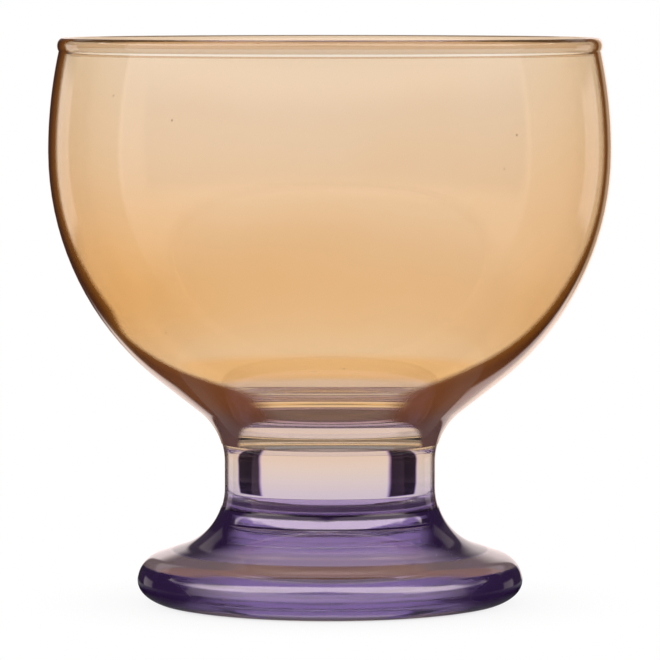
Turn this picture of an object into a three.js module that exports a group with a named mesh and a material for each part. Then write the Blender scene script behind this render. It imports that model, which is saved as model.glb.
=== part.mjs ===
// A footed dessert glass: a round blown bowl, a short solid stem and a pressed foot, fused in line.
// A sprayed amber coat covers the bowl and a violet one the foot. The stem between them is nearly clear.
// Millimetres, +Z up, with the axis of the glass on Z and the foot's resting ring at z = 0.
import * as THREE from 'three';

// Foot: a pressed disc with a rounded edge, whose top flares up into the stem.
const footRadius = 32.9;
const footHeight = 16.45; // table to the lower seam
const edgeHeight = 3.9; // table to the widest line of the edge
const edgeReach = 6.3; // widest line in to the resting ring
const shoulderRadius = 4.4;
const footFlareRadius = 10.8;
const footTopFall = 17; // slope of the foot's top, degrees
const restingRingWidth = 2;
const recessDepth = 1.6;

// Stem: the solid waist between the two seams.
const stemRadius = 18.05;
const waistLength = 4.4; // straight part of the waist
const lowerSeamDrop = 3.35; // lower seam below the straight part
const upperSeamRise = 3.3; // upper seam above the straight part

// Bowl: a blown round, drawn in a little to a beaded rim, with a thick floor over the stem.
const bowlRadius = 48;
const bowlFlareRadius = 11.1;
const bowlFlareSweep = 52; // turn of the flare out of the stem, degrees
const widestHeight = 49.8; // upper seam to the widest line
const roundDepth = 49.1; // depth of the outer round, were it to run on to the axis
const roundSweep = 52.7; // turn of the outer round below the widest line, degrees
const rimHeight = 19.45; // widest line to the top of the rim
const rimDrawIn = 1.6; // widest line in to the outside of the rim bead
const beadWidth = 2;
const beadHeight = 2.8;
const beadNeckAngle = 40; // where the bead meets the wall, degrees below its middle
const wallThickness = 1.5;
const floorThickness = 5.5; // upper seam to the floor of the hollow
const floorCapRadius = 300; // the floor is a very shallow cap
const roundClearance = 3; // upper seam to the bottom of the hollow's round, were it to run on to the axis
const floorBlend = 1.5; // how softly the round turns into the floor

// Colour coats: thin transparent skins on the outside of the glass.
const coatThickness = 0.1;
const amberLipAngle = 60; // where the amber coat ends on the rim bead, degrees above its middle
const violetEdgeAngle = 60; // where the violet coat ends under the foot's edge, degrees below its widest line

// Facets: around the axis, and along the round stretches of the outlines.
const facetsAround = 40;
const longArcSteps = 8;
const shortArcSteps = 4;
const seamArcSteps = 2;
const samePointGap = 1e-6; // points nearer than this are one point

// Heights of the seams and of the levels that the outlines turn on.
const lowerSeam = footHeight;
const waistBottom = lowerSeam + lowerSeamDrop;
const waistTop = waistBottom + waistLength;
const upperSeam = waistTop + upperSeamRise;
const widestLine = upperSeam + widestHeight;
const rimTop = widestLine + rimHeight;

const onAxis = (height) => new THREE.Vector2(0, height);
const degrees = (sine) => THREE.MathUtils.radToDeg(Math.asin(sine));

// Points on an arc of an ellipse in the outline's plane, from one angle to another, in degrees.
function arc(centreRadius, centreHeight, radius, rise, from, to, steps) {
  const start = THREE.MathUtils.degToRad(from);
  const end = THREE.MathUtils.degToRad(to);
  const curve = new THREE.EllipseCurve(centreRadius, centreHeight, radius, rise, start, end, to < from);
  return curve.getPoints(steps);
}

// Points on the gentle curve between the widest line of the bowl and the neck under the rim bead.
function wallCurve(from, to) {
  const widest = Math.max(from.x, to.x);
  const control = new THREE.Vector2(widest, (from.y + to.y) / 2);
  return new THREE.QuadraticBezierCurve(from, control, to).getPoints(shortArcSteps);
}

// Joins stretches of outline into one, leaving out points that two stretches share.
function chain(...stretches) {
  const outline = [];
  for (const point of stretches.flat()) {
    const last = outline.at(-1);
    if (!last || last.distanceTo(point) > samePointGap) outline.push(point);
  }
  return outline;
}

// The foot's flare is one arc, and the lower seam cuts it into the foot's share and the stem's.
function footFlare(from, to, steps) {
  return arc(stemRadius + footFlareRadius, waistBottom, footFlareRadius, footFlareRadius, from, to, steps);
}

// The bowl's flare is cut in the same way by the upper seam.
function bowlFlare(from, to, steps) {
  return arc(stemRadius + bowlFlareRadius, waistTop, bowlFlareRadius, bowlFlareRadius, from, to, steps);
}

const inward = 180; // the direction in which both flares meet the straight waist, degrees
const lowerSeamAngle = inward + degrees(lowerSeamDrop / footFlareRadius);
const upperSeamAngle = inward - degrees(upperSeamRise / bowlFlareRadius);
const levelDown = 90 - footTopFall;

// Outside of the foot, from the resting ring up to the lower seam.
const restingRadius = footRadius - edgeReach;
const footUnderEdge = (from, to, steps) =>
  arc(restingRadius, edgeHeight, edgeReach, edgeHeight, from, to, steps);
const footSide = chain(
  arc(footRadius - shoulderRadius, edgeHeight, shoulderRadius, shoulderRadius, 0, levelDown, shortArcSteps),
  footFlare(inward + levelDown, lowerSeamAngle, shortArcSteps),
);

// Outside of the stem, from the lower seam to the upper one.
const stemSide = chain(
  footFlare(lowerSeamAngle, inward, seamArcSteps),
  bowlFlare(inward, upperSeamAngle, seamArcSteps),
);

// Outside of the bowl, from the upper seam to the neck under the rim bead.
const beadRadius = bowlRadius - rimDrawIn - beadWidth / 2;
const beadLevel = rimTop - beadHeight / 2;
const bead = (from, to, steps) => arc(beadRadius, beadLevel, beadWidth / 2, beadHeight / 2, from, to, steps);
const outerBeadLow = bead(-beadNeckAngle, amberLipAngle, shortArcSteps);
const beadOverTop = bead(amberLipAngle, inward + beadNeckAngle, shortArcSteps);
const bowlSide = chain(
  bowlFlare(upperSeamAngle, inward - bowlFlareSweep, shortArcSteps),
  arc(0, widestLine, bowlRadius, roundDepth, -roundSweep, 0, longArcSteps),
  wallCurve(new THREE.Vector2(bowlRadius, widestLine), outerBeadLow[0]),
  outerBeadLow,
);

// A point of the hollow's round, lifted smoothly wherever the floor is higher.
function overFloor(point) {
  const floorHeight = upperSeam + floorThickness + point.x ** 2 / (2 * floorCapRadius);
  const gap = point.y - floorHeight;
  return new THREE.Vector2(point.x, (point.y + floorHeight + Math.hypot(gap, floorBlend)) / 2);
}

// Inside of the bowl, from the rim bead down to the middle of the floor.
const hollowRadius = bowlRadius - wallThickness;
const hollowDepth = widestHeight - roundClearance;
const hollowRound = arc(0, widestLine, hollowRadius, hollowDepth, 0, -90, longArcSteps).map(overFloor);
const hollow = chain(beadOverTop, wallCurve(beadOverTop.at(-1), hollowRound[0]), hollowRound);
hollow.at(-1).x = 0;

// Under the foot: a shallow round recess inside the resting ring.
const recessRadius = restingRadius - restingRingWidth;
const recess = arc(0, 0, recessRadius, recessDepth, 90, 0, shortArcSteps);
recess[0].x = 0;

// A skin of even thickness on an outline that runs upwards with the glass on its left.
function skin(outline) {
  const raised = outline.map((point, index) => {
    const before = outline[Math.max(index - 1, 0)];
    const after = outline[Math.min(index + 1, outline.length - 1)];
    const along = after.clone().sub(before).normalize();
    return new THREE.Vector2(point.x + along.y * coatThickness, point.y - along.x * coatThickness);
  });
  return [...raised, ...outline.slice().reverse(), raised[0]];
}

// Turns an outline about the axis of the glass.
function turned(outline) {
  return new THREE.LatheGeometry(outline, facetsAround).rotateX(Math.PI / 2);
}

const clearGlass = { color: 0xf4f1ee, roughness: 0.03, metalness: 0, transparent: true, opacity: 0.35 };
const amberCoat = { color: 0xe3b47c, roughness: 0.05, metalness: 0, transparent: true, opacity: 0.6 };
const violetCoat = { color: 0x6f5596, roughness: 0.05, metalness: 0, transparent: true, opacity: 0.7 };

const glass = new THREE.Group();

function addPiece(name, outline, finish) {
  const piece = new THREE.Mesh(turned(outline), new THREE.MeshStandardMaterial(finish));
  piece.name = name;
  glass.add(piece);
}

addPiece('bowl', chain([onAxis(upperSeam)], bowlSide, hollow), clearGlass);
addPiece('stem', chain([onAxis(lowerSeam)], stemSide, [onAxis(upperSeam)]), clearGlass);
addPiece(
  'foot',
  chain(
    recess,
    footUnderEdge(-90, -violetEdgeAngle, seamArcSteps),
    footUnderEdge(-violetEdgeAngle, 0, shortArcSteps),
    footSide,
    [onAxis(lowerSeam)],
  ),
  clearGlass,
);
addPiece('bowl_colour_coat', skin(bowlSide), amberCoat);
addPiece(
  'foot_colour_coat',
  skin(chain(footUnderEdge(-violetEdgeAngle, 0, shortArcSteps), footSide)),
  violetCoat,
);

export default glass;
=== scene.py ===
# A footed dessert glass: a foot, a stem and a bowl of clear glass, fused in line, with a violet coat
# on the foot and an amber coat on the bowl. Metres, +Z up, standing on a pale studio floor.
import math

import bpy
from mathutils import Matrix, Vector


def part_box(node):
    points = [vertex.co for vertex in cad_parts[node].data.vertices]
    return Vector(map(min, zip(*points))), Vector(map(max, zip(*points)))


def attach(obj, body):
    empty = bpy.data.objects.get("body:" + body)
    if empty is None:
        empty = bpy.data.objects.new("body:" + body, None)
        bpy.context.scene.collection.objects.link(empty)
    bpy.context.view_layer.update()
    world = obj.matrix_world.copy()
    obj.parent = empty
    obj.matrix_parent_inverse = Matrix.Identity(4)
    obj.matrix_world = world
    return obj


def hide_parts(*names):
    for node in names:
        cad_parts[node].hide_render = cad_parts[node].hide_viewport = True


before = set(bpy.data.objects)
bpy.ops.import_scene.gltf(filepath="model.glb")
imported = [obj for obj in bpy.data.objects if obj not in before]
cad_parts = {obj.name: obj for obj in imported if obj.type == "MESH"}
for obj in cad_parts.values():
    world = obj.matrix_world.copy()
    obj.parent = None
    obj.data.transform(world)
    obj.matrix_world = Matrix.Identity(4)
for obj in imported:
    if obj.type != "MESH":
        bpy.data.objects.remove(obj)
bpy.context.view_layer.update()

# Foot
# A pressed disc of clear glass with a rounded edge. Its top flares up to the lower seam, where it is fused
# to the stem, and it stands on a flat ring around a shallow recess.
foot_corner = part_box("foot")[1]
LOWER_SEAM = foot_corner.z
FOOT_RADIUS = foot_corner.x
EDGE_HEIGHT = 0.0039
EDGE_REACH = 0.0063
SHOULDER_RADIUS = 0.0044
FOOT_FLARE_RADIUS = 0.0108
FOOT_TOP_FALL = 17
RESTING_RING_WIDTH = 0.002
RECESS_DEPTH = 0.0016
VIOLET_EDGE_ANGLE = 60
STEM_RADIUS = 0.01805
LOWER_SEAM_DROP = 0.00335
WAIST_BOTTOM = LOWER_SEAM + LOWER_SEAM_DROP
CLEAR_TINT = (0.98, 0.97, 0.96, 1)
GLASS_IOR = 1.5
STEPS_AROUND = 192
DEGREES_PER_STEP = 3
FIRST_PLANE = 0.001
SAME_POINT_GAP = 2e-6
SMOOTH_UP_TO = 40


def arc(centre_radius, centre_height, radius, rise, start, stop):
    """Points on an arc of an ellipse in the plane of an outline, from one angle to another in degrees."""
    steps = max(2, math.ceil(abs(stop - start) / DEGREES_PER_STEP))
    points = []
    for step in range(steps + 1):
        angle = math.radians(start + (stop - start) * step / steps)
        place = (centre_radius + radius * math.cos(angle), 0, centre_height + rise * math.sin(angle))
        points.append(Vector(place))
    return points


def spun(outline, finish):
    """Draws an outline point by point from one vertex of a plane, then spins it about the glass's axis."""
    bpy.ops.object.select_all(action="DESELECT")
    bpy.ops.mesh.primitive_plane_add(size=FIRST_PLANE)
    surface = bpy.context.object
    surface.data.materials.append(finish)
    bpy.ops.object.mode_set(mode="EDIT")
    bpy.ops.mesh.merge(type="CENTER")
    bpy.ops.transform.translate(value=outline[0])
    for near, far in zip(outline, outline[1:]):
        bpy.ops.mesh.extrude_region_move(TRANSFORM_OT_translate={"value": far - near})
    bpy.ops.mesh.select_all(action="SELECT")
    bpy.ops.mesh.spin(steps=STEPS_AROUND, angle=math.tau, center=(0, 0, 0), axis=(0, 0, 1))
    bpy.ops.object.mode_set(mode="OBJECT")
    return surface


def turned(name, *stretches):
    """One closed piece from stretches of outline, each with its own finish, in order along the outline."""
    surfaces = [spun(outline, finish) for outline, finish in stretches]
    bpy.ops.object.select_all(action="DESELECT")
    for surface in surfaces:
        surface.select_set(True)
    bpy.context.view_layer.objects.active = surfaces[0]
    bpy.ops.object.join()
    piece = bpy.context.object
    piece.name = name
    piece.data.name = name
    bpy.ops.object.mode_set(mode="EDIT")
    bpy.ops.mesh.select_all(action="SELECT")
    bpy.ops.mesh.remove_doubles(threshold=SAME_POINT_GAP)
    bpy.ops.mesh.normals_make_consistent(inside=False)
    bpy.ops.object.mode_set(mode="OBJECT")
    bpy.ops.object.shade_smooth_by_angle(angle=math.radians(SMOOTH_UP_TO))
    return piece


class Wire:
    """An output of a shader node. Arithmetic on it adds Math nodes, and node() adds any other node."""

    def __init__(self, tree, socket=None):
        self.tree = tree
        self.socket = socket

    def node(self, kind, settings, values, output=0):
        added = self.tree.nodes.new(kind)
        for name, value in settings.items():
            setattr(added, name, value)
        for name, value in values.items():
            if isinstance(value, Wire):
                self.tree.links.new(value.socket, added.inputs[name])
            else:
                added.inputs[name].default_value = value
        return Wire(self.tree, added.outputs[output])

    def math(self, operation, first, second=0.0):
        return self.node("ShaderNodeMath", {"operation": operation}, {0: first, 1: second})

    def __add__(self, other):
        return self.math("ADD", self, other)

    __radd__ = __add__

    def __sub__(self, other):
        return self.math("SUBTRACT", self, other)

    def __rsub__(self, other):
        return self.math("SUBTRACT", other, self)

    def __mul__(self, other):
        return self.math("MULTIPLY", self, other)

    __rmul__ = __mul__

    def __truediv__(self, other):
        return self.math("DIVIDE", self, other)

    def __pow__(self, other):
        return self.math("POWER", self, other)

    def __abs__(self):
        return self.math("ABSOLUTE", self)

    def or_more(self, other):
        """The larger of two values."""
        return self.math("MAXIMUM", self, other)

    def along(self, axis):
        """One of the three numbers of this place or direction."""
        return self.node("ShaderNodeSeparateXYZ", {}, {0: self}, axis)

    def between(self, low, high):
        """A smooth step from 0 to 1 as this value goes from low to high."""
        values = {"Value": self, "From Min": low, "From Max": high}
        return self.node("ShaderNodeMapRange", {"interpolation_type": "SMOOTHSTEP"}, values)

    def blended(self, first, second):
        """The first colour where this value is 0, and the second where it is 1."""
        values = {"Factor": self, "A": first, "B": second}
        return self.node("ShaderNodeMix", {"data_type": "RGBA"}, values, 2)


def new_finish(name):
    """An empty material, and a wire to add its nodes with."""
    finish = bpy.data.materials.new(name)
    finish.use_nodes = True
    finish.node_tree.nodes.clear()
    return finish, Wire(finish.node_tree)


def surfaced(finish, shader):
    """The material, with its shader joined to its surface."""
    output = finish.node_tree.nodes.new("ShaderNodeOutputMaterial")
    finish.node_tree.links.new(shader.socket, output.inputs["Surface"])
    return finish


def glass_shader(wire, values):
    """Polished glass of the family that this object is made of."""
    common = {"Transmission Weight": 1.0, "IOR": GLASS_IOR, "Roughness": 0.0}
    return wire.node("ShaderNodeBsdfPrincipled", {}, {**common, **values})


def clear_glass():
    """The bare glass of the hollow and of the underside."""
    finish, wire = new_finish("clear_glass")
    return surfaced(finish, glass_shader(wire, {"Base Color": CLEAR_TINT}))


def fused_face():
    """Where two pieces are melted together or a coat sits on the glass, light goes straight through."""
    finish, wire = new_finish("fused_face")
    return surfaced(finish, wire.node("ShaderNodeBsdfTransparent", {}, {}))


CLEAR = clear_glass()
FUSED = fused_face()

resting_radius = FOOT_RADIUS - EDGE_REACH
recess_radius = resting_radius - RESTING_RING_WIDTH
inward = 180
level = 90 - FOOT_TOP_FALL
lower_seam_angle = inward + math.degrees(math.asin(LOWER_SEAM_DROP / FOOT_FLARE_RADIUS))
recess = arc(0, 0, recess_radius, RECESS_DEPTH, 90, 0)
recess[0].x = 0
bare_edge = arc(resting_radius, EDGE_HEIGHT, EDGE_REACH, EDGE_HEIGHT, -90, -VIOLET_EDGE_ANGLE)
coated_edge = arc(resting_radius, EDGE_HEIGHT, EDGE_REACH, EDGE_HEIGHT, -VIOLET_EDGE_ANGLE, 0)
shoulder = arc(FOOT_RADIUS - SHOULDER_RADIUS, EDGE_HEIGHT, SHOULDER_RADIUS, SHOULDER_RADIUS, 0, level)
flare_centre = STEM_RADIUS + FOOT_FLARE_RADIUS
foot_flare = arc(flare_centre, WAIST_BOTTOM, FOOT_FLARE_RADIUS, FOOT_FLARE_RADIUS,
                 inward + level, lower_seam_angle)
foot_side = coated_edge + shoulder[1:] + foot_flare
foot = turned(
    "foot_glass",
    (recess + bare_edge, CLEAR),
    (foot_side, FUSED),
    ([foot_side[-1], Vector((0, 0, LOWER_SEAM))], FUSED),
)
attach(foot, "root")
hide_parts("foot")

# Stem
# The short solid waist of clear glass, fused to the foot below and to the bowl above. Both colours were
# sprayed past the seams and thin out on it, and violet gathered in a band above the lower seam.
UPPER_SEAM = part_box("stem")[1].z
UPPER_SEAM_RISE = 0.0033
BOWL_FLARE_RADIUS = 0.0111
WAIST_TOP = UPPER_SEAM - UPPER_SEAM_RISE
STEM_TINT = (0.74, 0.6, 0.55, 1)
STEM_VIOLET = (0.6, 0.5, 0.6, 1)
STEM_AMBER = (0.78, 0.57, 0.45, 1)
STEM_GLOSS_TINT = (0.45, 0.25, 0.45, 1)
VIOLET_BAND = (0.075, 0.038, 0.12, 1)
VIOLET_BAND_TOP = (0.018, 0.0188)
STEM_EDGE_SHADE = (0.1, 0.055, 0.05, 1)
STEM_EDGE_SHADE_SHARE = 0.8
STEM_EDGE_SHADE_ANGLES = (0.68, 0.8)
SEAM_LINE = (0.012, 0.005, 0.02, 1)
SEAM_LINE_TOP = (LOWER_SEAM + 0.0001, LOWER_SEAM + 0.0006)
COAT_ROUGHNESS = 0.05
FULL_GLOSS = 0.5


def outside_of(wire):
    """1 on the outside of a surface, and 0 on its inside."""
    return 1 - wire.node("ShaderNodeNewGeometry", {}, {}, "Backfacing")


def seen_along(wire):
    """0 where the glass is seen straight on, and 1 where it is seen along its surface."""
    return wire.node("ShaderNodeLayerWeight", {}, {"Blend": 0.5}, "Facing")


def coloured_over(wire, shader, colour, share, gloss=FULL_GLOSS):
    """Glass with a solid colour over part of its outside: painted shade, painted light or dark lines."""
    values = {"Base Color": colour, "Roughness": COAT_ROUGHNESS, "Specular IOR Level": gloss}
    dense = wire.node("ShaderNodeBsdfPrincipled", {}, values)
    return wire.node("ShaderNodeMixShader", {}, {0: outside_of(wire) * share, 1: shader, 2: dense})


def stem_glass():
    """Clear glass with faint overspray, a violet band at its bottom and painted shade on its sides."""
    finish, wire = new_finish("stem_glass")
    height = wire.node("ShaderNodeTexCoord", {}, {}, "Object").along("Z")
    violet = 1 - height.between(LOWER_SEAM, WAIST_TOP)
    amber = height.between(WAIST_BOTTOM, UPPER_SEAM)
    tint = violet.blended(STEM_TINT, STEM_VIOLET)
    tint = amber.blended(tint, STEM_AMBER)
    in_band = outside_of(wire) * (1 - height.between(*VIOLET_BAND_TOP))
    tint = in_band.blended(tint, VIOLET_BAND)
    shader = glass_shader(wire, {"Base Color": tint, "Specular Tint": STEM_GLOSS_TINT})
    # painted shade: the sides turn dark brown where the stem is seen edgewise
    painted_edge_shade = STEM_EDGE_SHADE_SHARE * seen_along(wire).between(*STEM_EDGE_SHADE_ANGLES)
    shader = coloured_over(wire, shader, STEM_EDGE_SHADE, painted_edge_shade)
    shader = coloured_over(wire, shader, SEAM_LINE, 1 - height.between(*SEAM_LINE_TOP))
    return surfaced(finish, shader)


upper_seam_angle = inward - math.degrees(math.asin(UPPER_SEAM_RISE / BOWL_FLARE_RADIUS))
bowl_flare_centre = STEM_RADIUS + BOWL_FLARE_RADIUS
stem_side = arc(flare_centre, WAIST_BOTTOM, FOOT_FLARE_RADIUS, FOOT_FLARE_RADIUS, lower_seam_angle, inward)
stem_side += arc(bowl_flare_centre, WAIST_TOP, BOWL_FLARE_RADIUS, BOWL_FLARE_RADIUS, inward, upper_seam_angle)
stem = turned(
    "stem_glass",
    ([Vector((0, 0, LOWER_SEAM)), stem_side[0]], FUSED),
    (stem_side, stem_glass()),
    ([stem_side[-1], Vector((0, 0, UPPER_SEAM))], FUSED),
)
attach(stem, "root")
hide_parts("stem")

# Bowl
# Blown clear glass: a round drawn in a little to a fire-polished bead at the rim, with a thin wall that
# thickens into a solid floor over the stem. A little amber dust settled on the bare top of the bead.
bowl_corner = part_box("bowl")[1]
BOWL_RADIUS = bowl_corner.x
RIM_TOP = bowl_corner.z
BOWL_FLARE_SWEEP = 52
WIDEST_LINE = UPPER_SEAM + 0.0498
ROUND_DEPTH = 0.0491
ROUND_SWEEP = 52.7
RIM_DRAW_IN = 0.0016
BEAD_HALF_WIDTH = 0.001
BEAD_HALF_HEIGHT = 0.0014
BEAD_NECK_ANGLE = 40
AMBER_LIP_ANGLE = 60
WALL = 0.0015
FLOOR_THICKNESS = 0.0055
FLOOR_CAP_RADIUS = 0.3
ROUND_CLEARANCE = 0.003
FLOOR_BLEND = 0.0015
WALL_STEPS = 16
RIM_TINT = (0.88, 0.72, 0.53, 1)
RIM_DUST = (0.8, 0.55, 0.36, 1)
RIM_DUST_SHARE = 0.35
RIM_DUST_ROUGHNESS = 0.3


def wall_curve(start, stop):
    """The gentle curve of the wall between the widest line and the neck under the bead."""
    widest = max(start.x, stop.x)
    corner = Vector((widest, 0, (start.z + stop.z) / 2))
    points = []
    for step in range(WALL_STEPS + 1):
        share = step / WALL_STEPS
        points.append(start.lerp(corner, share).lerp(corner.lerp(stop, share), share))
    return points


def rim_glass():
    """The bare top of the bead, with its dust of amber."""
    finish, wire = new_finish("rim_glass")
    shader = glass_shader(wire, {"Base Color": RIM_TINT})
    dust_values = {"Base Color": RIM_DUST, "Roughness": RIM_DUST_ROUGHNESS}
    dust = wire.node("ShaderNodeBsdfPrincipled", {}, dust_values)
    return surfaced(finish, wire.node("ShaderNodeMixShader", {}, {0: RIM_DUST_SHARE, 1: shader, 2: dust}))


def bead(start, stop):
    """A stretch of the rim bead, from one angle to another in degrees."""
    centre_radius = BOWL_RADIUS - RIM_DRAW_IN - BEAD_HALF_WIDTH
    centre_height = RIM_TOP - BEAD_HALF_HEIGHT
    return arc(centre_radius, centre_height, BEAD_HALF_WIDTH, BEAD_HALF_HEIGHT, start, stop)


coated_bead = bead(-BEAD_NECK_ANGLE, AMBER_LIP_ANGLE)
bare_bead = bead(AMBER_LIP_ANGLE, inward + BEAD_NECK_ANGLE)
bowl_side = arc(bowl_flare_centre, WAIST_TOP, BOWL_FLARE_RADIUS, BOWL_FLARE_RADIUS,
                upper_seam_angle, inward - BOWL_FLARE_SWEEP)
bowl_side += arc(0, WIDEST_LINE, BOWL_RADIUS, ROUND_DEPTH, -ROUND_SWEEP, 0)
bowl_side += wall_curve(Vector((BOWL_RADIUS, 0, WIDEST_LINE)), coated_bead[0])[1:]
bowl_side += coated_bead[1:]
hollow_radius = BOWL_RADIUS - WALL
hollow = wall_curve(bare_bead[-1], Vector((hollow_radius, 0, WIDEST_LINE)))
hollow_depth = WIDEST_LINE - UPPER_SEAM - ROUND_CLEARANCE
for point in arc(0, WIDEST_LINE, hollow_radius, hollow_depth, 0, -90)[1:]:
    floor_height = UPPER_SEAM + FLOOR_THICKNESS + point.x ** 2 / (2 * FLOOR_CAP_RADIUS)
    gap = point.z - floor_height
    point.z = (point.z + floor_height + math.hypot(gap, FLOOR_BLEND)) / 2
    hollow.append(point)
hollow[-1].x = 0
bowl = turned(
    "bowl_glass",
    ([Vector((0, 0, UPPER_SEAM)), bowl_side[0]], FUSED),
    (bowl_side, FUSED),
    (bare_bead, rim_glass()),
    (hollow, CLEAR),
)
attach(bowl, "root")
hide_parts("bowl")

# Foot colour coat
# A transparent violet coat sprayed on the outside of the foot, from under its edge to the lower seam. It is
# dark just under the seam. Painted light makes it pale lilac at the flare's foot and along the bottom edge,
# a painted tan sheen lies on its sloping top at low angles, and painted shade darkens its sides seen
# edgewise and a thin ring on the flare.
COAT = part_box("bowl_colour_coat")[1].x - BOWL_RADIUS
EDGE_LINE = 0.0067
TOP_LINE = 0.0091
LINE_BLUR = 0.00015
VIOLET_TINT = (0.22, 0.14, 0.36, 1)
VIOLET_GLOSS_IOR = 1.6
EDGE_ROUGHNESS = 0.16
RIPPLE_SCALE = 55
RIPPLE_DETAIL = 2
RIPPLE_STRETCH = (1, 1, 12)
RIPPLE_DEPTH = 0.0001
PAINTED_LILAC_LIGHT = (0.48, 0.36, 0.57, 1)
PAINTED_LIGHT_SHARE = 0.72
FLARE_LIGHT_TOP = (0.0098, 0.0118)
EDGE_LIGHT_TOP = (0.0004, 0.0007)
TAN_SHEEN = (0.29, 0.165, 0.15, 1)
DEEP_SHEEN = (0.21, 0.145, 0.16, 1)
SHEEN_SHARE = 0.9
SHEEN_ANGLES = (0.28, 0.5)
DEEP_SHEEN_ANGLES = (0.61, 0.66)
DARK_VIOLET = (0.026, 0.011, 0.05, 1)
DARK_VIOLET_GLOSS = 0.2
DARK_EDGE_ANGLES = (0.03, 0.4)
DARK_FLARE_ANGLES = (0.36, 0.56)
LESS_SHADE_UNDER_EDGE = 0.65
LESS_SHADE_ON_SHOULDER = 0.15
LESS_SHADE_ON_FLARE = 0.22
LESS_SHADE_FLARE_TOP = (0.0092, 0.0118)
DARK_SEAM_BOTTOM = (LOWER_SEAM - 0.0007, LOWER_SEAM - 0.0004)
PAINTED_DARK_RING = 0.0144
PAINTED_DARK_RING_WIDTH = (0.0001, 0.0002)


def raised(outline):
    """The outline of a coat's outside: every point moved out from the glass by the coat's thickness."""
    points = []
    for index, point in enumerate(outline):
        along = outline[min(index + 1, len(outline) - 1)] - outline[max(index - 1, 0)]
        along.normalize()
        points.append(point + COAT * Vector((along.z, 0, -along.x)))
    return points


def drawn_waves(wire, place):
    """The faint level ripples that hot glass keeps from being drawn and pressed."""
    stretched = wire.node("ShaderNodeMapping", {}, {"Vector": place, "Scale": RIPPLE_STRETCH})
    values = {"Vector": stretched, "Scale": RIPPLE_SCALE, "Detail": RIPPLE_DETAIL}
    ripple = wire.node("ShaderNodeTexNoise", {}, values)
    return wire.node("ShaderNodeBump", {}, {"Strength": 1.0, "Distance": RIPPLE_DEPTH, "Height": ripple})


def violet_coat():
    """Violet, in three zones by height: the rounded edge, the sloping top and the flare."""
    finish, wire = new_finish("violet_coat")
    place = wire.node("ShaderNodeTexCoord", {}, {}, "Object")
    height = place.along("Z")
    along_surface = seen_along(wire)
    on_edge = 1 - height.between(EDGE_LINE - LINE_BLUR, EDGE_LINE + LINE_BLUR)
    on_flare = height.between(TOP_LINE - LINE_BLUR, TOP_LINE + LINE_BLUR)
    on_top = 1 - on_edge - on_flare
    values = {"Base Color": VIOLET_TINT, "Coat Weight": 1.0, "Coat IOR": VIOLET_GLOSS_IOR}
    values["Normal"] = drawn_waves(wire, place)
    values["Roughness"] = EDGE_ROUGHNESS * on_edge
    shader = glass_shader(wire, values)
    # painted light: solid pale lilac over the flare's foot and along the bottom edge
    painted_light_band = on_flare * (1 - height.between(*FLARE_LIGHT_TOP)) + 1 - height.between(*EDGE_LIGHT_TOP)
    shader = coloured_over(wire, shader, PAINTED_LILAC_LIGHT, PAINTED_LIGHT_SHARE * painted_light_band)
    # painted sheen: a tan sheen painted on the foot's sloping top at low angles, deeper as the angle drops
    sheen = along_surface.between(*DEEP_SHEEN_ANGLES).blended(TAN_SHEEN, DEEP_SHEEN)
    shader = coloured_over(wire, shader, sheen, SHEEN_SHARE * on_top * along_surface.between(*SHEEN_ANGLES))
    # painted shade: dark violet sides seen edgewise, less under the edge, on the shoulder and low on the
    # flare
    edge_shade_offset = LESS_SHADE_UNDER_EDGE * (1 - height.between(0.0, EDGE_HEIGHT))
    edge_shade_offset = edge_shade_offset + LESS_SHADE_ON_SHOULDER * height.between(EDGE_HEIGHT, EDGE_LINE)
    flare_shade_offset = LESS_SHADE_ON_FLARE * (1 - height.between(*LESS_SHADE_FLARE_TOP))
    painted_dark_sides = on_edge * (along_surface - edge_shade_offset).between(*DARK_EDGE_ANGLES)
    painted_dark_sides = painted_dark_sides + on_flare * (along_surface - flare_shade_offset).between(*DARK_FLARE_ANGLES)
    # painted shade: a thin dark ring on the flare; the coat is also dark just under the seam
    dark_lines = height.between(*DARK_SEAM_BOTTOM) + 1 - abs(height - PAINTED_DARK_RING).between(*PAINTED_DARK_RING_WIDTH)
    shader = coloured_over(wire, shader, DARK_VIOLET, painted_dark_sides.or_more(dark_lines), DARK_VIOLET_GLOSS)
    return surfaced(finish, shader)


foot_coat = turned(
    "foot_coat",
    ([foot_side[0]] + raised(foot_side) + [foot_side[-1]], violet_coat()),
    (foot_side[::-1], FUSED),
)
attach(foot_coat, "root")
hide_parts("foot_colour_coat")

# Bowl colour coat
# A transparent amber coat sprayed on the outside of the bowl, from the upper seam to the rim bead. It is
# thinner towards the rim and deep where the bowl turns out of the stem, a little uneven from side to side,
# and darker in a thin line just above the seam. Painted brown shade darkens it where it is seen along its
# surface, and a thin painted tan highlight lines its lower part and one side.
DEEP_AMBER = (0.87, 0.455, 0.14, 1)
PALE_AMBER = (0.86, 0.705, 0.54, 1)
AMBER_THINS = (0.025, 0.115)
CLOUD_SCALE = 38
CLOUD_DETAIL = 3
CLOUD_SHARE = 0.3
THINNER_ACROSS = 2.6
EVEN_FROM = (0.055, 0.08)
LOW_AMBER = (0.93, 0.65, 0.395, 1)
LOW_AMBER_TOP = (0.038, 0.053)
ANGLED_AMBER = (0.97, 0.85, 0.66, 1)
AMBER_ANGLES = (0.1, 0.65)
SEAM_AMBER = (0.64, 0.49, 0.45, 1)
SEAM_AMBER_TOP = (UPPER_SEAM, UPPER_SEAM + 0.01)
FLARE_AMBER = (0.97, 0.5, 0.15, 1)
FLARE_AMBER_BOTTOM = (0.0315, 0.0335)
FLARE_AMBER_TOP = (0.0365, 0.0385)
SEED_SCALE = 115
SEED_SIZE = (0.018, 0.034)
SEED_SHARE = 0.75
SEED_BROWN = (0.2, 0.08, 0.02, 1)
BROWN_ANGLES = (0.72, 0.79)
DEEP_BROWN_ANGLES = (0.76, 0.9)
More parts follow.
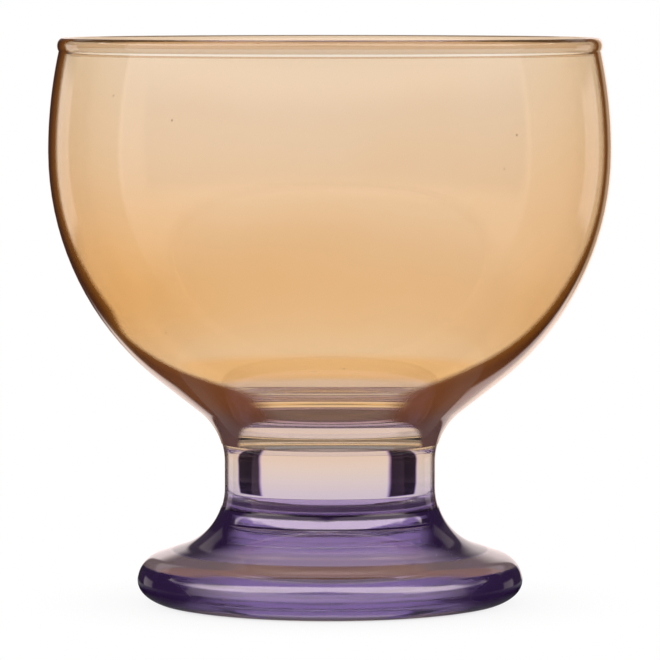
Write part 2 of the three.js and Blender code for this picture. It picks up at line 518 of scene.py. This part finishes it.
BROWN_SHADE = (0.22, 0.072, 0.008, 1)
DEEP_BROWN_SHADE = (0.085, 0.02, 0.001, 1)
LOW_BROWN_SHADE = (0.215, 0.072, 0.027, 1)
SEAM_BROWN_SHADE = (0.14, 0.07, 0.064, 1)
SEAM_BROWN_TOP = (0.03, 0.036)
LOW_BROWN_TOP = (0.036, 0.048)
BROWN_GLOSS = 0.15
SOONER_SHADE_BELOW = 0.08
SOONER_SHADE_TOP = (0.048, 0.068)
SOONEST_SHADE_BELOW = 0.17
SOONEST_SHADE_TOP = (0.037, 0.0485)
SIDE_SHADE_BOTTOM = (0.036, 0.042)
SIDE_SHADE_TOP = (0.046, 0.052)
SIDE_SHADE_ACROSS = 1.6
SIDE_SHADE_MIDDLE = -0.022
SEAM_DARK_SHARE = 0.5
SEAM_DARK_TOP = (UPPER_SEAM + 0.0002, UPPER_SEAM + 0.0004)
PAINTED_TAN_HIGHLIGHT = (0.78, 0.5, 0.29, 1)
LOW_HIGHLIGHT_SHARE = 0.6
LOW_HIGHLIGHT_ANGLES = (0.78, 0.9)
LOW_HIGHLIGHT_TOP = (0.045, 0.052)
SIDE_HIGHLIGHT_SHARE = 0.9
SIDE_HIGHLIGHT_ANGLES = (0.8, 0.86)
SIDE_HIGHLIGHT_ACROSS = (0.0, 0.03)


def amber_coat():
    """Amber fading upwards, with clouds, a few seed specks, painted brown shade and a painted tan highlight.
    """
    finish, wire = new_finish("amber_coat")
    place = wire.node("ShaderNodeTexCoord", {}, {}, "Object")
    across = place.along("X")
    height = place.along("Z")
    along_surface = seen_along(wire)
    values = {"Vector": place, "Scale": CLOUD_SCALE, "Detail": CLOUD_DETAIL}
    cloud = wire.node("ShaderNodeTexNoise", {}, values)
    thin = height.between(*AMBER_THINS) + CLOUD_SHARE * (cloud - 0.5)
    thin = thin + THINNER_ACROSS * across * (1 - height.between(*EVEN_FROM))
    tint = thin.blended(DEEP_AMBER, PALE_AMBER)
    tint = (1 - height.between(*LOW_AMBER_TOP)).blended(tint, LOW_AMBER)
    values = {"Factor": along_surface.between(*AMBER_ANGLES), "A": tint, "B": ANGLED_AMBER}
    tint = wire.node("ShaderNodeMix", {"data_type": "RGBA", "blend_type": "MULTIPLY"}, values, 2)
    tint = (1 - height.between(*SEAM_AMBER_TOP)).blended(tint, SEAM_AMBER)
    on_flare = height.between(*FLARE_AMBER_BOTTOM) * (1 - height.between(*FLARE_AMBER_TOP))
    tint = on_flare.blended(tint, FLARE_AMBER)
    seeds = wire.node("ShaderNodeTexVoronoi", {}, {"Vector": place, "Scale": SEED_SCALE}, "Distance")
    tint = (SEED_SHARE * (1 - seeds.between(*SEED_SIZE))).blended(tint, SEED_BROWN)
    shader = glass_shader(wire, {"Base Color": tint})

    # painted shade: brown where seen edgewise, sooner low down and on the +X side; a dark line above the seam
    sooner_shade = SOONER_SHADE_BELOW * (1 - height.between(*SOONER_SHADE_TOP))
    sooner_shade = sooner_shade + SOONEST_SHADE_BELOW * (1 - height.between(*SOONEST_SHADE_TOP))
    side_shade_band = height.between(*SIDE_SHADE_BOTTOM) * (1 - height.between(*SIDE_SHADE_TOP))
    shade_level = along_surface + sooner_shade + (SIDE_SHADE_ACROSS * across + SIDE_SHADE_MIDDLE) * side_shade_band
    dark_lines = SEAM_DARK_SHARE * (1 - height.between(*SEAM_DARK_TOP))
    shade_brown = shade_level.between(*DEEP_BROWN_ANGLES).blended(BROWN_SHADE, DEEP_BROWN_SHADE)
    low_shade_brown = height.between(*SEAM_BROWN_TOP).blended(SEAM_BROWN_SHADE, LOW_BROWN_SHADE)
    shade_brown = height.between(*LOW_BROWN_TOP).blended(low_shade_brown, shade_brown)
    painted_shade_share = shade_level.between(*BROWN_ANGLES).or_more(dark_lines)
    shader = coloured_over(wire, shader, shade_brown, painted_shade_share, BROWN_GLOSS)

    # painted highlight: a thin tan line at grazing angles on the lower bowl and on its +X side
    low_highlight = along_surface.between(*LOW_HIGHLIGHT_ANGLES) * (1 - height.between(*LOW_HIGHLIGHT_TOP))
    side_highlight = along_surface.between(*SIDE_HIGHLIGHT_ANGLES) * across.between(*SIDE_HIGHLIGHT_ACROSS)
    painted_highlight = (LOW_HIGHLIGHT_SHARE * low_highlight).or_more(SIDE_HIGHLIGHT_SHARE * side_highlight)
    shader = coloured_over(wire, shader, PAINTED_TAN_HIGHLIGHT, painted_highlight, BROWN_GLOSS)
    return surfaced(finish, shader)


bowl_coat = turned(
    "bowl_coat",
    ([bowl_side[0]] + raised(bowl_side) + [bowl_side[-1]], amber_coat()),
    (bowl_side[::-1], FUSED),
)
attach(bowl_coat, "root")
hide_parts("bowl_colour_coat")

# Floor
# A pale round table top under the glass, painted matt white, with violet under the foot as a painted shadow.
# It shows as plain white to the camera and through the glass, apart from the glass's soft shadow, and where
# the glass mirrors it, it is dim, with a painted shadow darkest close round the foot.
FLOOR_RADIUS = 0.06
FLOOR_SIDES = 96
FLOOR_WHITE = (1, 1, 1, 1)
VIOLET_SHADE = (0.5, 0.36, 0.66, 1)
SHADE_RADII = (0.025, 0.031)
SHADE_SHARE = 0.9
CONTACT_SHARE = 0.3
CONTACT_RADII = (0.0266, 0.03)
SHADOW_SHARE = 0.12
SHADOW_RADII = (0.03, 0.055)
MIRRORED_NEAR_FOOT = 0.08
NEAR_FOOT_RADII = (0.031, 0.036)
MIRRORED_TABLE = 0.2
TABLE_RADII = (0.036, 0.05)


def ray(wire, kind):
    """What Light Path says of a ray, such as whether it is a camera ray."""
    return wire.node("ShaderNodeLightPath", {}, {}, kind)


bpy.ops.object.select_all(action="DESELECT")
bpy.ops.mesh.primitive_circle_add(vertices=FLOOR_SIDES, radius=FLOOR_RADIUS, fill_type="NGON")
floor = bpy.context.object
floor.name = "floor"
paint, wire = new_finish("floor_paint")
place = wire.node("ShaderNodeTexCoord", {}, {}, "Object")
from_axis = wire.node("ShaderNodeVectorMath", {"operation": "LENGTH"}, {0: place}, 1)
under_foot = 1 - from_axis.between(*SHADE_RADII)
# painted shadow: the matt floor under the foot is violet, for the violet shade the foot casts
matt = wire.node("ShaderNodeBsdfDiffuse", {}, {"Color": under_foot.blended(FLOOR_WHITE, VIOLET_SHADE)})
camera_ray = ray(wire, "Is Camera Ray")
through_ray = ray(wire, "Is Transmission Ray")
mirrored = ray(wire, "Is Glossy Ray") * (1 - through_ray)
seen = camera_ray + through_ray + mirrored
# painted shadow: seen in the glass, the floor is dimmest close round the foot
mirror_level = MIRRORED_NEAR_FOOT * (1 - from_axis.between(*NEAR_FOOT_RADII))
mirror_level = mirror_level + MIRRORED_TABLE * from_axis.between(*TABLE_RADII)
shown = wire.node("ShaderNodeEmission", {}, {"Color": 1 - (1 - mirror_level) * mirrored})
shadow = CONTACT_SHARE * (1 - from_axis.between(*CONTACT_RADII))
shadow = shadow + SHADOW_SHARE * (1 - from_axis.between(*SHADOW_RADII))
shaded = SHADE_SHARE * under_foot * (1 - camera_ray) + shadow * camera_ray
floor_mix = wire.node("ShaderNodeMixShader", {}, {0: seen * (1 - shaded), 1: matt, 2: shown})
floor.data.materials.append(surfaced(paint, floor_mix))

# Studio
# Light comes evenly from all round, and the camera sees plain white. Through the glass: a white panel behind
# it with dark room on each side, and a grey ceiling. Mirrored in its outside: a dim room with a few pale
# strips behind, a wide soft screen in front, brighter on the left, and one long lamp above the camera.
STUDIO_TURN = 3
EDGE_SOFTNESS = 1.5
TABLE_RISES = (-0.3, -0.26)
CEILING_RISES = (0.4, 0.6)
GREY_CEILING = 0.35
PANEL_EDGE = 27
DARK_EDGE = 46
DARK_ROOM = 0.015
FRONT_EDGE = 88
FRONT_RISES = (0.15, 0.3)
BOUNCED_FRONT = 0.4
BOUNCED_SHARE = 0.85
LAMP = 4.0
LAMP_EDGE = 62
LAMP_BOTTOM = 0.6
LAMP_BLUR = 0.03
LAMP_SLANT = 0.3
LAMP_TOP = 0.84
LAMP_REACH = 1.06
LAMP_ROUND = 2.4
LAMP_BACK = 0.5
LAMP_RIM = (0.95, 1.0)
MIRRORED_BACK = 0.03
MIRRORED_ABOVE = 0.08
ABOVE_RISES = (0.02, 0.12)
ABOVE_LOW_SIDES = (0.16, 0.24)
ABOVE_HIGH_SIDES = (0.86, 0.94)
MIRRORED_NEAR = 1.2
NEAR_EDGE = 12
NEAR_RISES = (0.18, 0.42)
BELOW_EDGE = 19
BELOW_RISES = (-0.24, -0.16)
MIRRORED_STRIP = 0.7
STRIP_EDGES = (35, 50)
STRIP_BOTTOM = (-0.24, -0.18)
STRIP_TOP = (0.06, 0.12)
MIRRORED_STICK = 0.4
STICK_EDGES = (18, 42)
STICK_BOTTOM = (0.3, 0.36)
STICK_TOP = (0.46, 0.52)
MIRRORED_FRONT = 0.25
SCREEN_BOTTOM = (-0.65, -0.05)
SCREEN_TOP = (0.3, 0.42)
SCREEN_SIDES = (-0.8, 0.8)
SCREEN_LOSS = 0.52
DIM_ABOVE_SCREEN = 0.7
ROOM_WHITE = (1, 1, 1, 1)
MIRRORED_WARMTH = (1, 0.87, 0.85, 1)
DARK_ROOM_VIOLET = (1, 0.75, 1.8, 1)

world = bpy.data.worlds.new("studio")
bpy.context.scene.world = world
world.use_nodes = True
world.node_tree.nodes.clear()
wire = Wire(world.node_tree)
direction = wire.node("ShaderNodeTexCoord", {}, {}, "Generated")
values = {"Vector": direction, "Angle": math.radians(STUDIO_TURN)}
direction = wire.node("ShaderNodeVectorRotate", {"rotation_type": "Z_AXIS"}, values)
across = direction.along("X")
away = direction.along("Y")
rise = direction.along("Z")
aside = abs(across)
turn = wire.math("ARCTAN2", aside, away) * math.degrees(1)


def turned_past(angle):
    """1 where a direction is turned further from the back, to either side, than this angle in degrees."""
    return turn.between(angle - EDGE_SOFTNESS, angle + EDGE_SOFTNESS)


through_ray = ray(wire, "Is Transmission Ray")
mirrored = ray(wire, "Is Glossy Ray") * (1 - through_ray)
bounced = wire.math("MINIMUM", ray(wire, "Glossy Depth"), 1.0)
outside = 1 - wire.math("MINIMUM", ray(wire, "Transmission Depth"), 1.0)
table = 1 - rise.between(*TABLE_RISES)
ceiling = rise.between(*CEILING_RISES)
front = turned_past(FRONT_EDGE)

dark_room = turned_past(PANEL_EDGE) * (1 - turned_past(DARK_EDGE)) * (1 - table)
walls = 1 - (1 - DARK_ROOM) * dark_room * (1 - BOUNCED_SHARE * bounced)
level_front = front * (1 - abs(rise).between(*FRONT_RISES))
walls = walls * (1 - (1 - BOUNCED_FRONT) * bounced * level_front)
through_level = walls * (1 - ceiling) + GREY_CEILING * ceiling

lamp_form = (rise / LAMP_TOP) ** 2 + (aside / LAMP_REACH) ** LAMP_ROUND + LAMP_BACK * away.or_more(0.0)
lamp_bottom = LAMP_BOTTOM - LAMP_SLANT * aside
lamp = rise.between(lamp_bottom - LAMP_BLUR, lamp_bottom + LAMP_BLUR) * (1 - lamp_form.between(*LAMP_RIM))
lamp = outside * turned_past(LAMP_EDGE) * lamp

above = rise.between(*ABOVE_RISES) * (1 - (aside - rise).between(*ABOVE_LOW_SIDES))
above = above * (1 - (aside + rise).between(*ABOVE_HIGH_SIDES))
near_back = (1 - turned_past(NEAR_EDGE)) * (1 - rise.between(*NEAR_RISES))
below = (1 - turned_past(BELOW_EDGE)) * (1 - rise.between(*BELOW_RISES))
strip = turned_past(STRIP_EDGES[0]) * (1 - turned_past(STRIP_EDGES[1]))
strip = strip * rise.between(*STRIP_BOTTOM) * (1 - rise.between(*STRIP_TOP))
stick = turned_past(STICK_EDGES[0]) * (1 - turned_past(STICK_EDGES[1]))
stick = stick * rise.between(*STICK_BOTTOM) * (1 - rise.between(*STICK_TOP))
back_level = (MIRRORED_NEAR * below.or_more(near_back)).or_more(MIRRORED_ABOVE * above)
back_level = back_level + MIRRORED_BACK + MIRRORED_STRIP * strip + MIRRORED_STICK * stick

over_screen = rise.between(*SCREEN_TOP)
screen = (1 - SCREEN_LOSS * across.between(*SCREEN_SIDES)) * rise.between(*SCREEN_BOTTOM) * (1 - over_screen)
front_level = MIRRORED_FRONT * (1 - table) * (1 - DIM_ABOVE_SCREEN * over_screen)
front_level = front_level + MIRRORED_TABLE * table + screen
mirror_level = back_level * (1 - front) + front_level * front + LAMP * lamp

light = 1 - through_ray * (1 - through_level) - mirrored * (1 - mirror_level)
colour = mirrored.blended(ROOM_WHITE, MIRRORED_WARMTH)
colour = (through_ray * dark_room * (1 - bounced)).blended(colour, DARK_ROOM_VIOLET)
lit_colour = wire.node("ShaderNodeVectorMath", {"operation": "SCALE"}, {0: colour, "Scale": light})
background = wire.node("ShaderNodeBackground", {}, {"Color": lit_colour})
output = world.node_tree.nodes.new("ShaderNodeOutputWorld")
world.node_tree.links.new(background.socket, output.inputs["Surface"])

# Camera
# A long lens a little above the height of the rim, square to the glass, on its middle. Light may bend and
# bounce many times inside the thick glass of the stem and the foot before it is dropped.
CAMERA_PLACE = Vector((0, -0.885, 0.1057))
CAMERA_AIM = Vector((0, 0, 0.04677))
IMAGE_WIDTH = 660
FOCAL_PIXELS = 5185
SENSOR = 36
GLASS_BOUNCES = 40
CLEAR_BOUNCES = 48
scene = bpy.context.scene
camera_data = bpy.data.cameras.new("camera")
camera_data.sensor_width = SENSOR
camera_data.lens = SENSOR * FOCAL_PIXELS / IMAGE_WIDTH
camera = bpy.data.objects.new("camera", camera_data)
scene.collection.objects.link(camera)
camera.location = CAMERA_PLACE
camera.rotation_euler = (CAMERA_AIM - CAMERA_PLACE).to_track_quat("-Z", "Y").to_euler()
scene.camera = camera
scene.view_settings.view_transform = "Standard"
scene.cycles.max_bounces = GLASS_BOUNCES
scene.cycles.transmission_bounces = GLASS_BOUNCES
scene.cycles.glossy_bounces = GLASS_BOUNCES
scene.cycles.transparent_max_bounces = CLEAR_BOUNCES
